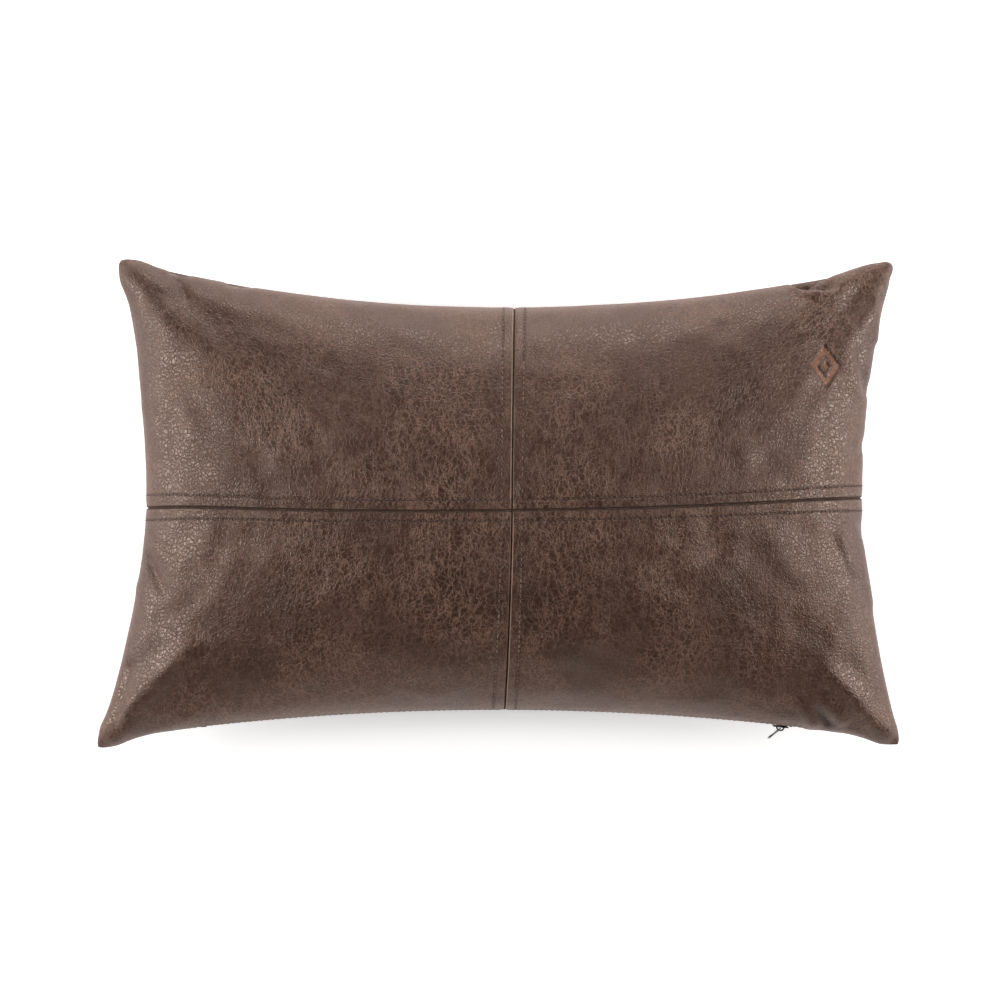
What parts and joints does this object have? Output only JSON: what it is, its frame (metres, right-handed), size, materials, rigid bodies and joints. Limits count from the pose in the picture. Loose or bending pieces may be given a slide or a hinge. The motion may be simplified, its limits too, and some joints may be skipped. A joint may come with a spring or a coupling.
{
  "type": "throw pillow",
  "caption": "Oblong leather lumbar pillow, its front pieced from quarters with topstitched cross seams, a zip with a sliding pull in its bottom edge, and a fibre insert in its own casing.",
  "frame": {"origin": "on the table, under the middle of the box of the pillow lying on its back", "axes": "+X along the pillow's length, +Y up its front with the zip in the -Y edge, +Z out of its front"},
  "size_m": [0.4995, 0.3036, 0.125],
  "materials": {
    "leather": "dark brown pebbled leather, softly glossy",
    "thread": "reddish brown twisted thread",
    "zip_cloth": "woven zip tape",
    "zip_coil": "nylon coil",
    "zip_metal": "gunmetal plating",
    "casing_cloth": "undyed cotton",
    "fibre": "loose polyester fibre"
  },
  "bodies": {
    "pillow": {"front_panel_top_left": "leather", "front_panel_top_right": "leather", "front_panel_bottom_left": "leather", "front_panel_bottom_right": "leather", "back_panel": "leather", "topstitch_above_cross_seam": "thread", "topstitch_below_cross_seam": "thread", "topstitch_upper_left": "thread", "topstitch_upper_right": "thread", "topstitch_lower_left": "thread", "topstitch_lower_right": "thread", "zip_stitch_front": "thread", "zip_stitch_back": "thread", "zip_tape_front": "zip_cloth", "zip_tape_back": "zip_cloth", "zip_coil_front": "zip_coil", "zip_coil_back": "zip_coil", "zip_top_stop_front": "zip_metal", "zip_top_stop_back": "zip_metal", "zip_bottom_stop": "zip_metal", "insert_casing_front": "casing_cloth", "insert_casing_back": "casing_cloth", "insert_fill": "fibre"},
    "slider": {"zip_slider": "zip_metal"},
    "pull": {"zip_pull": "zip_metal"}
  },
  "joints": [
    {"name": "zip_travel", "type": "hinge", "parent": "pillow", "child": "slider", "pos_m": [0, -1.7284, 0.05815], "axis": [0, 0, 1], "range_deg": [0, 12.6]},
    {"name": "pull_swing", "type": "hinge", "parent": "slider", "child": "pull", "pos_m": [0.17636, -0.14026, 0.05815], "axis": [0, 0, 1], "range_deg": [-43, 133]}
  ]
}
